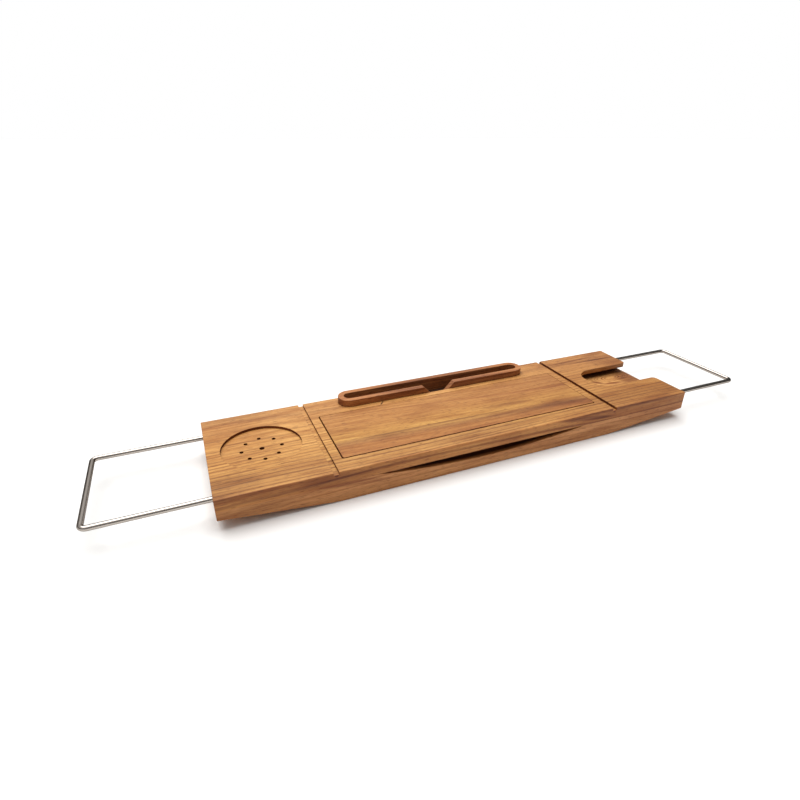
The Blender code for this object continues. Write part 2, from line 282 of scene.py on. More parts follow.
# %% [markdown]
# ## Teak
# Teak is a ring-porous hardwood: each year starts with a line of large open pores, which reads
# as a fine brown stripe where the saw cuts it. Oil deepens the gold to orange brown.
# The pattern is solid: rings are drawn round a pith line that runs along X below the board, so a
# face cut near to the radius shows narrow stripes, a face cut along the rings shows broad
# flames, and the ends show arcs and dots. A picture wrapped round the board could not do that.
# First come the parts of the pattern, each in its own function: noise that is drawn out along
# the grain, the drift of the trunk, soft spots for stains and knots, and the line that ends
# each year.

# %% Grain, and its drift
# The size of a grain is the length and the width, in mm, of one patch of its noise.
DRIFT_SIZE = (385, 71.4)
DRIFT_REACH = 16 * MM


def grain(tree, place, size, detail, roughness=0.5):
    """Noise whose patches are drawn out along X, as everything in a trunk is."""
    length, width = [side * MM for side in size]
    drawn_out = add_node(tree, "ShaderNodeMapping", {
        "Vector": place, "Scale": (1 / length, 1 / width, 1 / width),
    })
    return add_node(tree, "ShaderNodeTexNoise", {
        "Vector": drawn_out.outputs[0], "Scale": 1.0, "Detail": detail, "Roughness": roughness,
    })


def drifting(tree, place, lean):
    """Places in the trunk. The board is sawn at a small lean to it, in degrees, and slow noise
    shifts the grain by a few millimetres, as no trunk is straight."""
    leaning = add_node(tree, "ShaderNodeMapping", {
        "Vector": place, "Rotation": (0.0, 0.0, math.radians(lean)),
    })
    slow = grain(tree, place, DRIFT_SIZE, detail=1.5, roughness=0.3)
    centred = add_node(tree, "ShaderNodeVectorMath", {
        0: slow.outputs["Color"], 1: (0.5, 0.5, 0.5),
    }, operation="SUBTRACT")
    return add_node(tree, "ShaderNodeVectorMath", {
        0: centred.outputs[0], 1: (0.0, DRIFT_REACH, DRIFT_REACH), 2: leaning.outputs[0],
    }, operation="MULTIPLY_ADD").outputs[0]


print("length and width of the drift in mm:", DRIFT_SIZE)

# %% Soft spots, and places across the board
SPOT_CORE = 0.45
TRAY_DEPTH = cad_high.y - cad_low.y


def nearness(tree, place, centre, size, turn=(0, 0, 0), core=SPOT_CORE):
    """1 inside an ellipsoid's core and 0 outside the ellipsoid. centre and size, its half lengths,
    are in mm, turn is in degrees about X, Y and Z, and core is a share of the size."""
    local = add_node(tree, "ShaderNodeMapping", {
        "Vector": place,
        "Location": [length * MM for length in centre],
        "Rotation": [math.radians(angle) for angle in turn],
        "Scale": [length * MM for length in size],
    }, vector_type="TEXTURE")
    distance = add_node(tree, "ShaderNodeVectorMath", {0: local.outputs[0]}, operation="LENGTH")
    return add_node(tree, "ShaderNodeMapRange", {
        "Value": distance.outputs["Value"], "From Min": 1.0, "From Max": core,
    }, interpolation_type="SMOOTHSTEP").outputs[0]


def toned(tree, depth_share, tones):
    """A tone for each place across the board, from pairs of mm from the tray's middle line and
    a colour. depth_share runs from 0 at the tray's front to 1 at its back."""
    return add_node(tree, "ShaderNodeValToRGB", {"Fac": depth_share}, stops=[
        (from_middle * MM / TRAY_DEPTH + 0.5, linear(tone)) for from_middle, tone in tones
    ]).outputs["Color"]


print("tray depth in mm:", round(TRAY_DEPTH / MM, 1))

# %% The line that ends each year
# Wide and narrow years take turns, about every three years. The line takes the end of a year,
# and its strength differs from year to year.
SEASON_SCALE = 0.35
SEASON_DETAIL = 2.0
SEASON_REACH = 1.6
LINE_START = 0.2
FAINTEST_YEAR = 0.45
KNOT_DEPTH = 3.2


def year_count(tree, trunk_place, pith, ring_width, near_knots):
    """Years from the pith outwards. A knot pushes the years aside, so they run round it."""
    about_pith = add_node(tree, "ShaderNodeMapping", {
        "Vector": trunk_place, "Location": (0.0, -pith[0], -pith[1]), "Scale": (0.0, 1.0, 1.0),
    })
    radius = add_node(tree, "ShaderNodeVectorMath", {0: about_pith.outputs[0]}, operation="LENGTH")
    years = add_node(tree, "ShaderNodeMath", {
        0: radius.outputs["Value"], 1: 1 / ring_width,
    }, operation="MULTIPLY").outputs[0]
    for near, count in near_knots:
        years = add_node(tree, "ShaderNodeMath", {
            0: near, 1: count, 2: years,
        }, operation="MULTIPLY_ADD").outputs[0]
    seasons = add_node(tree, "ShaderNodeTexNoise", {
        "W": years, "Scale": SEASON_SCALE, "Detail": SEASON_DETAIL,
    }, noise_dimensions="1D")
    return add_node(tree, "ShaderNodeMath", {
        0: seasons.outputs[0], 1: SEASON_REACH, 2: years,
    }, operation="MULTIPLY_ADD").outputs[0]


def year_lines(tree, trunk_place, pith, ring_width, knots):
    """Strength of the brown line at the end of each year's growth. A knot is a centre and a size
    in mm, and a number of years that it adds."""
    near_knots = [
        (nearness(tree, trunk_place, centre, size, core=0.0), count)
        for centre, size, count in knots
    ]
    years = year_count(tree, trunk_place, pith, ring_width, near_knots)
    turn = add_node(tree, "ShaderNodeMath", {0: years, 1: 2 * math.pi}, operation="MULTIPLY")
    swing = add_node(tree, "ShaderNodeMath", {0: turn.outputs[0]}, operation="COSINE")
    crest = add_node(tree, "ShaderNodeMapRange", {
        "Value": swing.outputs[0], "From Min": LINE_START, "From Max": 1.0,
    }, interpolation_type="SMOOTHSTEP")
    year_number = add_node(tree, "ShaderNodeMath", {0: years}, operation="ROUND")
    year_mood = add_node(tree, "ShaderNodeTexWhiteNoise", {
        "W": year_number.outputs[0],
    }, noise_dimensions="1D")
    strength = add_node(tree, "ShaderNodeMapRange", {
        "Value": year_mood.outputs["Value"], "To Min": FAINTEST_YEAR,
    }).outputs[0]
    for near, _ in near_knots:
        strength = add_node(tree, "ShaderNodeMath", {
            0: near, 1: KNOT_DEPTH, 2: strength,
        }, operation="MULTIPLY_ADD").outputs[0]
    return add_node(tree, "ShaderNodeMath", {
        0: crest.outputs[0], 1: strength,
    }, operation="MULTIPLY").outputs[0]


print("years across the tray, at 5 mm each:", round(TRAY_DEPTH / (5 * MM)))

# %% [markdown]
# Three finer patterns lie in the wood. Fibres are streaks about 3 mm wide and 80 mm long, with
# finer ones in them, and they break up the lines and the stains. The figure is made of soft
# patches about 16 mm wide. Open pores are short dark dashes: real ones are about 0.2 mm wide,
# and they are drawn at 0.7 mm, so that they show in the render.
# Each pattern starts at one value of its noise and is full at another.

# %% Fibres
FIBRE_SIZE = (83.3, 3.03)
FIBRE_DETAIL = 4.0
FIBRE_ROUGHNESS = 0.6
STREAK_START = 0.35
STREAK_FULL = 0.7
STREAK_STRENGTH = 0.8
BREAK_START = 0.3
BREAK_FULL = 0.65
WEAKEST_BREAK = 0.6


def fibre_streaks(tree, fibres):
    """Dark streaks where the fibres are dense."""
    return add_node(tree, "ShaderNodeMapRange", {
        "Value": fibres, "From Min": STREAK_START, "From Max": STREAK_FULL,
        "To Max": STREAK_STRENGTH,
    }).outputs[0]


def fibre_breaks(tree, fibres):
    """How much of a line or a stain each fibre takes on."""
    return add_node(tree, "ShaderNodeMapRange", {
        "Value": fibres, "From Min": BREAK_START, "From Max": BREAK_FULL,
        "To Min": WEAKEST_BREAK,
    }).outputs[0]


print("length and width of the fibres in mm:", FIBRE_SIZE)

# %% Figure and open pores
FIGURE_SIZE = (83.3, 16.13)
FIGURE_DETAIL = 2.0
FIGURE_START = 0.48
FIGURE_FULL = 0.68
PORE_SIZE = (9.09, 0.667)
PORE_DETAIL = 1.0
PORE_START = 0.57
PORE_FULL = 0.71
PORE_STRENGTH = 0.8


def figure_patches(tree, trunk_place):
    """Soft darker patches."""
    patches = grain(tree, trunk_place, FIGURE_SIZE, FIGURE_DETAIL)
    return add_node(tree, "ShaderNodeMapRange", {
        "Value": patches.outputs[0], "From Min": FIGURE_START, "From Max": FIGURE_FULL,
    }).outputs[0]


def open_pores(tree, place):
    """Short dark dashes along the grain."""
    dashes = grain(tree, place, PORE_SIZE, PORE_DETAIL)
    return add_node(tree, "ShaderNodeMapRange", {
        "Value": dashes.outputs[0], "From Min": PORE_START, "From Max": PORE_FULL,
        "To Max": PORE_STRENGTH,
    }).outputs[0]


print("length and width of the figure in mm:", FIGURE_SIZE, "and of the pores:", PORE_SIZE)

# %% [markdown]
# Some layers depend on how a face lies. End grain drinks more oil, so it is darker. Shade is
# painted on flat places low in the hollows, but not along their open rims, and on the walls of
# recesses.

# %% Faces that take more oil, and painted shade
# Facings are shares of a face's direction along an axis.
END_START = 0.6
END_FULL = 0.95
FLAT_START = 0.5
FLAT_FULL = 0.8
WALL_START = 0.6
WALL_FULL = 0.3
WALL_CORE = 0.9
# The painted shade in hollows fades in over this height, and stays off this rim at the front and
# the back.
SHADE_FADE = 0.3 * MM
UNSHADED_RIM = 6 * MM


def end_grain(tree, facing):
    """Faces across the grain."""
    endwise = add_node(tree, "ShaderNodeMath", {0: facing["X"]}, operation="ABSOLUTE")
    return add_node(tree, "ShaderNodeMapRange", {
        "Value": endwise.outputs[0], "From Min": END_START, "From Max": END_FULL,
    }).outputs[0]


def painted_hollow_shade(tree, place, facing, level_mm):
    """Three shares of where shade is painted in a hollow: it is low, flat and away from the open
    rims.
    """
    level = add_node(tree, "ShaderNodeSeparateXYZ", {"Vector": place})
    low = add_node(tree, "ShaderNodeMapRange", {
        "Value": level.outputs["Z"],
        "From Min": level_mm * MM, "From Max": level_mm * MM - SHADE_FADE,
    })
    flat = add_node(tree, "ShaderNodeMapRange", {
        "Value": facing["Z"], "From Min": FLAT_START, "From Max": FLAT_FULL,
    })
    from_middle = add_node(tree, "ShaderNodeMath", {0: level.outputs["Y"]}, operation="ABSOLUTE")
    inside = add_node(tree, "ShaderNodeMapRange", {
        "Value": from_middle.outputs[0],
        "From Min": TRAY_DEPTH / 2, "From Max": TRAY_DEPTH / 2 - UNSHADED_RIM,
    })
    return [low.outputs[0], flat.outputs[0], inside.outputs[0]]


def upright(tree, facing):
    """Faces that stand."""
    return add_node(tree, "ShaderNodeMapRange", {
        "Value": facing["Z"], "From Min": WALL_START, "From Max": WALL_FULL,
    }).outputs[0]


# The rim that the painted shade in hollows stays off.
print("rim without oil in mm:", round(UNSHADED_RIM / MM, 1))

# %% [markdown]
# The whole wood is a base tone that changes across the board, and a stack of layers that
# each darken it: the years' lines, the fibres, the open pores, the figure, the redder heartwood,
# the end grain, painted shade in the hollows and on the walls, and the stains, among which is a
# painted shadow. A layer is a list of shares, which are multiplied, and a tint. The fibres also
# set the gloss and, with the pores, the relief.
# Oiled teak has a soft sheen: its roughness is a little over a half, and the oil lies in the
# wood rather than on it, so it mirrors a little less than varnish would.

# %% Layers of tint, and an oiled surface
OIL_SPECULAR = 0.36
GLOSS_START = 0.3
GLOSS_END = 0.7
SMOOTHEST = 0.5
ROUGHEST = 0.64
PORE_SINK = -0.8
RELIEF_STRENGTH = 0.5
RELIEF = 0.25 * MM


def darkened(tree, colour, layers):
    """Multiply a colour by the tint of each layer, as far as the product of its shares says."""
    for (share, *others), tint in layers:
        for other in others:
            share = add_node(tree, "ShaderNodeMath", {
                0: share, 1: other,
            }, operation="MULTIPLY").outputs[0]
        colour = add_node(tree, "ShaderNodeMix", {
            "Factor_Float": share, "A_Color": colour, "B_Color": linear(tint),
        }, data_type="RGBA", blend_type="MULTIPLY").outputs[2]
    return colour


def oiled_surface(tree, shader, fibres, pores):
    """The gloss and the relief of oiled wood. Pores are sunk into it."""
    gloss = add_node(tree, "ShaderNodeMapRange", {
        "Value": fibres, "From Min": GLOSS_START, "From Max": GLOSS_END,
        "To Min": SMOOTHEST, "To Max": ROUGHEST,
    })
    tree.links.new(gloss.outputs[0], shader.inputs["Roughness"])
    shader.inputs["Specular IOR Level"].default_value = OIL_SPECULAR
    relief = add_node(tree, "ShaderNodeMath", {
        0: pores, 1: PORE_SINK, 2: fibres,
    }, operation="MULTIPLY_ADD")
    bump = add_node(tree, "ShaderNodeBump", {
        "Height": relief.outputs[0], "Strength": RELIEF_STRENGTH, "Distance": RELIEF,
    })
    tree.links.new(bump.outputs[0], shader.inputs["Normal"])


print("relief of the wood in mm:", RELIEF / MM)

# %% Teak, planed and oiled
FIBRE_TINT = "#D2BDAE"
PORE_TINT = "#A0856F"
FIGURE_TINT = "#E2D4C5"
END_GRAIN_TINT = "#C9B4A4"
# The tint of the painted shade in hollows.
HOLLOW_SHADE_TINT = "#5E4B42"


def towards_heart(tree, trunk, start_mm, end_mm):
    """How far a place is from the outside of the tree to its heart, along X."""
    return add_node(tree, "ShaderNodeMapRange", {
        "Value": trunk["X"], "From Min": start_mm * MM, "From Max": end_mm * MM,
    }, interpolation_type="SMOOTHSTEP").outputs[0]


def oiled_teak(name, tones, pith, ring_width, ring_depth, ring_tint, heart=None, lean=0.0,
               knots=(), stains_and_shades=(), shade_below=None, shaded_walls=()):
    """Oiled teak with tones across its width, and rings about a pith line along X.
    tones are pairs of mm from the middle line and a colour. ring_depth is the strength of the
    rings at the front and at the back. heart is a tint that the wood takes on from one place
    along X to another, in mm. Stains and shaded walls are each a tint and a soft spot: the shaded
    walls and a few of the stains are painted shade. Painted shade also lies on flat places below a
    level in mm."""
    material, tree, shader = new_material(name)
    coordinates = add_node(tree, "ShaderNodeTexCoord").outputs
    place = coordinates["Object"]
    facing = add_node(tree, "ShaderNodeSeparateXYZ", {"Vector": coordinates["Normal"]}).outputs
    trunk_place = drifting(tree, place, lean)
    trunk = add_node(tree, "ShaderNodeSeparateXYZ", {"Vector": trunk_place}).outputs
    depth_share = add_node(tree, "ShaderNodeMapRange", {
        "Value": trunk["Y"], "From Min": -TRAY_DEPTH / 2, "From Max": TRAY_DEPTH / 2,
    }).outputs[0]
    ring_share = add_node(tree, "ShaderNodeMapRange", {
        "Value": depth_share, "To Min": ring_depth[0], "To Max": ring_depth[1],
    }).outputs[0]
    fibres = grain(tree, trunk_place, FIBRE_SIZE, FIBRE_DETAIL, FIBRE_ROUGHNESS).outputs[0]
    broken = fibre_breaks(tree, fibres)
    pores = open_pores(tree, place)
    lines = year_lines(tree, trunk_place, pith, ring_width, knots)
    layers = [
        ([lines, broken, ring_share], ring_tint),
        ([fibre_streaks(tree, fibres)], FIBRE_TINT),
        ([pores], PORE_TINT),
        ([figure_patches(tree, trunk_place)], FIGURE_TINT),
    ]
    if heart:
        heart_tint, *heart_span = heart
        layers.append(([towards_heart(tree, trunk, *heart_span)], heart_tint))
    layers.append(([end_grain(tree, facing)], END_GRAIN_TINT))
    # Painted shade on low flat places and on upright walls in the spots given.
    if shade_below:
        layers.append((painted_hollow_shade(tree, place, facing, shade_below), HOLLOW_SHADE_TINT))
    standing = upright(tree, facing)
    for tint, *spot in shaded_walls:
        layers.append(([nearness(tree, place, *spot, core=WALL_CORE), standing], tint))
    for tint, *spot in stains_and_shades:
        layers.append(([nearness(tree, place, *spot), broken], tint))
    colour = darkened(tree, toned(tree, depth_share, tones), layers)
    tree.links.new(colour, shader.inputs["Base Color"])
    oiled_surface(tree, shader, fibres, pores)
    return material


print("tints of fibres, pores and figure:", FIBRE_TINT, PORE_TINT, FIGURE_TINT)

# %% [markdown]
# The four wooden pieces come from different planks. The deck's is cut near to the radius and
# shows narrow stripes, which are strong at the front and fade to the back. The rail's is dark
# heartwood with narrow rings. The loose board's is cut along the rings, so it is nearly plain.
# Each plank has its own marks: paler and darker streaks, a small check by the rail, and a knot
# in the lower board under the glass slot. The drain holes, the grooves, the foot space and the
# scoop are darkened with painted shade.
# A mark is a tint, a centre, half lengths and, where it lies askew, a turn.

# %% The deck's plank
deck_teak = oiled_teak(
    "deck oiled teak",
    tones=[
        (-79, "#C6904D"), (-60, "#C4904C"), (-30, "#D59F55"),
        (20, "#D59E57"), (60, "#D09958"), (79, "#CB9455"),
    ],
    pith=(70 * MM, -42 * MM),
    ring_width=4.9 * MM,
    ring_depth=(1.0, 0.35),
    ring_tint="#96735E",
    heart=("#E5DBD8", 70, 210),
    stains_and_shades=[
        # The front face is redder than the top, with dark streaks in it.
        ("#FFEBE8", (0, -79, 29), (700, 1.8, 60)),
        ("#BFA283", (-235, -79, 33), (140, 1.8, 11), (0, 3, 0)),
        ("#B59E90", (135, -79, 30.5), (62, 1.8, 3.5), (0, 6.6, 0)),
        ("#DCCDC2", (252, -79, 33), (50, 1.5, 1.2), (0, 1, 0)),
        # Broad soft shades on the top.
        ("#E9E4E4", (10, -68, 36), (100, 12, 8)),
        ("#E6E0DA", (-282, -62, 36), (45, 30, 10)),
        ("#E4DFE2", (274, 52, 36), (44, 32, 20)),
        ("#F0EAE2", (238, -58, 36), (62, 24, 20)),
        ("#EFE6D6", (-270, 0, 36), (80, 100, 20)),
        # Two dark streaks behind the glass slot, and the check by the rail.
        ("#BBA69C", (225, 62, 36), (44, 3, 6), (0, 0, 2)),
        ("#BBA69C", (250, 53, 36), (44, 2, 6), (0, 0, -1)),
        ("#573C2D", (-81.5, 44.5, 36), (7.5, 1.3, 4), (0, 0, 52)),
    ],
    # Painted shade on flat places below 30 mm, deep in the deck's cuts.
    shade_below=30.0,
    shaded_walls=[
        # Painted shade on the walls of the soap recess and its drain holes, of the foot space, and
        # of the two grooves.
        ("#A0765A", (-237, 0, 34), (54, 54, 40)),
        ("#6E5544", (240, 41, 26), (52, 10, 5)),
        ("#B8927A", (-177, 0, 34.5), (5.5, 96, 8)),
        ("#B8927A", (177, 0, 34.5), (5.5, 96, 8)),
    ],
)
print(deck_teak.name, "nodes:", len(deck_teak.node_tree.nodes))

# %% The lower board's plank
lower_teak = oiled_teak(
    "lower oiled teak",
    tones=[(-79, "#CE9057"), (0, "#D7A25E"), (79, "#BE8652")],
    pith=(-10 * MM, -85 * MM),
    ring_width=5.6 * MM,
    ring_depth=(0.55, 0.55),
    ring_tint="#AD8569",
    knots=[((260, 17, 22), (40, 17, 20), 5.4)],
    stains_and_shades=[
        # The foot space is darker at its mouth and round the knot, and has a painted shadow at its
        # back, under the deck.
        ("#AE9278", (290, 6, 22), (32, 34, 8)),
        ("#6E5544", (250, 41, 22), (74, 18, 6)),
        ("#9A745C", (231, 10, 22), (12, 4.5, 6), (0, 0, -42)),
        ("#B08E76", (250, 2, 22), (18, 4.5, 6), (0, 0, -10)),
        # The front face is darker towards both ends.
        ("#E4D8CE", (250, -79, 16), (90, 2, 8)),
        ("#DCD4C6", (-280, -79, 16), (80, 2, 10)),
        ("#CDB8A8", (-165, -79, 20), (60, 2, 5), (0, 8, 0)),
    ],
    # Painted shade on low flat places, such as the floor of the scoop.
    shade_below=21.9,
    # Painted shade on the walls of the drain holes under the soap recess.
    shaded_walls=[("#755C4F", (-237, 0, 20), (54, 54, 40))],
)
print(lower_teak.name, "nodes:", len(lower_teak.node_tree.nodes))

# %% The rail's plank
rail_teak = oiled_teak(
    "rail oiled teak",
    tones=[(-79, "#BB7D48"), (48, "#BB7D48"), (79, "#B97A44")],
    pith=(20 * MM, -30 * MM),
    ring_width=3.4 * MM,
    ring_depth=(0.8, 0.8),
    ring_tint="#B98E72",
    # Both ends of the rail are lighter than its middle, and painted shade darkens the right of its
    # front wall.
    stains_and_shades=[("#E2E2F0", (5, 62, 40), (122, 60, 60))],
    shaded_walls=[("#E6E2EA", (75, 48, 40), (75, 4, 14))],
)
print(rail_teak.name, "nodes:", len(rail_teak.node_tree.nodes))

# %% The loose board's plank
board_teak = oiled_teak(
    "loose board oiled teak",
    tones=[
        (-58, "#B4783B"), (-46, "#B17639"), (-37, "#A8763D"), (-29, "#CC984C"),
        (-14, "#C79148"), (5, "#BE8544"), (40, "#BE8647"),
    ],
    pith=(-10 * MM, -70 * MM),
    ring_width=6.0 * MM,
    ring_depth=(0.5, 0.5),
    ring_tint="#C9A389",
    heart=("#EFEAEE", -60, 160),
    lean=2.2,
    stains_and_shades=[
        # A long grey streak, a dark front right corner, and a soft shade between them.
        ("#B7A69B", (-40, -28.5, 36), (125, 2.4, 5), (0, 0, -1)),
        ("#D2BDB0", (134, -44, 36), (72, 8, 8), (0, 0, -4)),
        ("#D8CCC4", (55, -18, 36), (50, 6, 6), (0, 0, -3)),
    ],
    # Painted shade on the board's front face, which shows through the gap round it.
    shaded_walls=[("#A98A74", (0, -57, 32), (400, 4, 8))],
)
print(board_teak.name, "nodes:", len(board_teak.node_tree.nodes))

# %% [markdown]
# ## Boards
# The four wooden pieces keep the shapes of their solids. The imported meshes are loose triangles,
# so each is copied, its doubles are merged, and flat areas become single faces again. Edges that
# really turn stay sharp, and weighted normals keep the flat faces flat beside the small roundings.

# %% Clean copies of the wooden solids
CREASE = math.radians(35)
STILL_FLAT = math.radians(0.2)
MERGE = 0.002 * MM


def plain_copy(node_name, piece_name):
    """A merged copy of a CAD node's mesh, with flat faces joined and real edges sharp."""
    shape = bmesh.new()
    shape.from_mesh(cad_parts[node_name].data)
    bmesh.ops.remove_doubles(shape, verts=shape.verts, dist=MERGE)
    bmesh.ops.dissolve_limit(
        shape, angle_limit=STILL_FLAT, verts=shape.verts, edges=shape.edges,
    )
    mesh = bpy.data.meshes.new(piece_name)
    shape.to_mesh(mesh)
    shape.free()
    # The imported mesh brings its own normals, which no longer fit the joined faces.
    mesh.attributes.remove(mesh.attributes["custom_normal"])
    mesh.shade_smooth()
    mesh.set_sharp_from_angle(angle=CREASE)
    piece = bpy.data.objects.new(piece_name, mesh)
    scene.collection.objects.link(piece)
    shading = piece.modifiers.new("flat faces", "WEIGHTED_NORMAL")
    shading.keep_sharp = True
    return piece


def wooden_piece(node_name, piece_name, material, body):
    """A wooden piece that stands for one CAD node."""
    piece = plain_copy(node_name, piece_name)
    piece.data.materials.append(material)
    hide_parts(node_name)
    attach(piece, body)
    print(piece_name, "faces:", len(piece.data.polygons))


wooden_piece("deck_board", "teak_deck", deck_teak, "tray")
wooden_piece("lower_board", "teak_lower_board", lower_teak, "tray")
wooden_piece("reading_rail", "teak_reading_rail", rail_teak, "tray")
wooden_piece("lift_out_board", "teak_loose_board", board_teak, "lift_out_board")

# %% [markdown]
# ## Stainless steel, nylon and rubber
# The arms are drawn stainless wire: a polished metal that mirrors the room, darker at a glancing
# angle, with faint lines along it from the die. Real die lines are too fine to show, so they are
# drawn 0.7 mm wide and 17 mm long.
# The bushes are turned from natural nylon, which is milky with a soft shine. The stops are
# moulded black rubber, which is dull and a little grainy.

# %% Drawn stainless steel
WIRE_TONE = "#B2A9A1"
WIRE_EDGE_TINT = "#2E2825"
DIE_LINE_LENGTH = 16.67 * MM
DIE_LINE_WIDTH = 0.72 * MM
DIE_LINE_DETAIL = 3.0
DIE_LINE_START = 0.3
DIE_LINE_END = 0.7
WIRE_SMOOTHEST = 0.12
WIRE_ROUGHEST = 0.24
DIE_LINE_STRENGTH = 0.15
DIE_LINE_DEPTH = 0.02 * MM


def drawn_stainless_steel(wire_diameter):
    """Polished drawn wire: a bright metal, darker at a glancing angle, with faint lines.
    The arms carry the distance along the wire and the share round it as wire_place."""
    material, tree, shader = new_material("drawn stainless steel wire")
    shader.inputs["Metallic"].default_value = 1.0
    shader.inputs["Base Color"].default_value = linear(WIRE_TONE)
    shader.inputs["Specular Tint"].default_value = linear(WIRE_EDGE_TINT)
    place = add_node(tree, "ShaderNodeAttribute", attribute_name="wire_place").outputs["Vector"]
    lines_round = math.pi * wire_diameter / DIE_LINE_WIDTH
    lines = add_node(tree, "ShaderNodeMapping", {
        "Vector": place, "Scale": (1 / DIE_LINE_LENGTH, lines_round, 1.0),
    })
    scratches = add_node(tree, "ShaderNodeTexNoise", {
        "Vector": lines.outputs[0], "Scale": 1.0, "Detail": DIE_LINE_DETAIL,
    })
    rough = add_node(tree, "ShaderNodeMapRange", {
        "Value": scratches.outputs[0], "From Min": DIE_LINE_START, "From Max": DIE_LINE_END,
        "To Min": WIRE_SMOOTHEST, "To Max": WIRE_ROUGHEST,
    })
    tree.links.new(rough.outputs[0], shader.inputs["Roughness"])
    bump = add_node(tree, "ShaderNodeBump", {
        "Height": scratches.outputs[0], "Strength": DIE_LINE_STRENGTH, "Distance": DIE_LINE_DEPTH,
    })
    tree.links.new(bump.outputs[0], shader.inputs["Normal"])
    return material


wire_low, wire_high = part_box("left_arm")
steel = drawn_stainless_steel(wire_high.z - wire_low.z)
print("wire diameter in mm:", round((wire_high.z - wire_low.z) / MM, 2))

# %% Nylon and rubber
GRAIN_DETAIL = 2.0
DARKEST_GRAIN = 0.9
LIGHTEST_GRAIN = 1.1
GRAIN_STRENGTH = 0.3
GRAIN_HEIGHT = 0.05 * MM


def matt_plastic(name, tone, roughness, grain_mm):
    """A plain matt polymer with a fine surface grain."""
    material, tree, shader = new_material(name)
    shader.inputs["Roughness"].default_value = roughness
    place = add_node(tree, "ShaderNodeTexCoord").outputs["Object"]
    grain = add_node(tree, "ShaderNodeTexNoise", {
        "Vector": place, "Scale": 1 / (grain_mm * MM), "Detail": GRAIN_DETAIL,
    })
    lightness = add_node(tree, "ShaderNodeMapRange", {
        "Value": grain.outputs[0], "To Min": DARKEST_GRAIN, "To Max": LIGHTEST_GRAIN,
    })
    shade = add_node(tree, "ShaderNodeHueSaturation", {
        "Value": lightness.outputs[0], "Color": linear(tone),
    })
    tree.links.new(shade.outputs[0], shader.inputs["Base Color"])
    bump = add_node(tree, "ShaderNodeBump", {
        "Height": grain.outputs[0], "Strength": GRAIN_STRENGTH, "Distance": GRAIN_HEIGHT,
    })
    tree.links.new(bump.outputs[0], shader.inputs["Normal"])
    return material


nylon = matt_plastic("turned natural nylon", "#DDD8CB", roughness=0.42, grain_mm=0.6)
rubber = matt_plastic("moulded black rubber", "#262626", roughness=0.78, grain_mm=0.4)
print("polymers:", nylon.name, "and", rubber.name)

# %% [markdown]
# ## Geometry trees
# The arms, the bushes and the stops follow rules, so Geometry Nodes draw them. Every tree starts
# with named sockets for its sizes, and ends with real geometry in its material. Each result is
# then kept as a plain mesh.

# %% The start and the end of a tree, and a plain mesh from it
def new_shape_tree(name, sockets, result):
    """An empty tree with a socket of a kind for each input, and one for its result."""
    tree = bpy.data.node_groups.new(name, "GeometryNodeTree")
    for socket_name, kind in sockets:
        tree.interface.new_socket(socket_name, in_out="INPUT", socket_type="NodeSocket" + kind)
    tree.interface.new_socket(result, in_out="OUTPUT", socket_type="NodeSocketGeometry")
    return tree


def end_tree(tree, geometry, material, result):
    """Make the geometry real, give it its material and hand it over."""
    real = add_node(tree, "GeometryNodeRealizeInstances", {"Geometry": geometry})
    finished = add_node(tree, "GeometryNodeSetMaterial", {
        "Geometry": real.outputs[0], "Material": material,
    })
    add_node(tree, "NodeGroupOutput", {result: finished.outputs[0]})


def grow(guide, tree, sizes, piece_name):
    """Run a tree on a guide mesh and keep the result as a plain mesh piece."""
    holder = bpy.data.objects.new(piece_name + "_guide", guide)
    scene.collection.objects.link(holder)
    growth = holder.modifiers.new("growth", "NODES")
    growth.node_group = tree
    for item in tree.interface.items_tree:
        if item.in_out == "INPUT" and item.name in sizes:
            growth[item.identifier] = sizes[item.name]
    graph = bpy.context.evaluated_depsgraph_get()
    mesh = bpy.data.meshes.new_from_object(holder.evaluated_get(graph))
    mesh.name = piece_name
    holder.modifiers.remove(growth)
    bpy.data.objects.remove(holder, do_unlink=True)
    mesh.shade_smooth()
    mesh.set_sharp_from_angle(angle=CREASE)
    piece = bpy.data.objects.new(piece_name, mesh)
    scene.collection.objects.link(piece)
    print(piece_name, "faces:", len(mesh.polygons))
    return piece


print("edges stay sharp from, in degrees:", round(math.degrees(CREASE)))

# %% [markdown]
# ## Wire arms
# Each arm is one length of round wire, bent twice over a former into a wide U. The shape follows
# a rule: a path with two rounded corners, and a circle carried along it. The guide is a mesh of
# four points, and the tree rounds its corners and sweeps the wire.
# The tree also stores each place's distance along the wire and its share round it, so that the
# steel's lines can follow the bends.

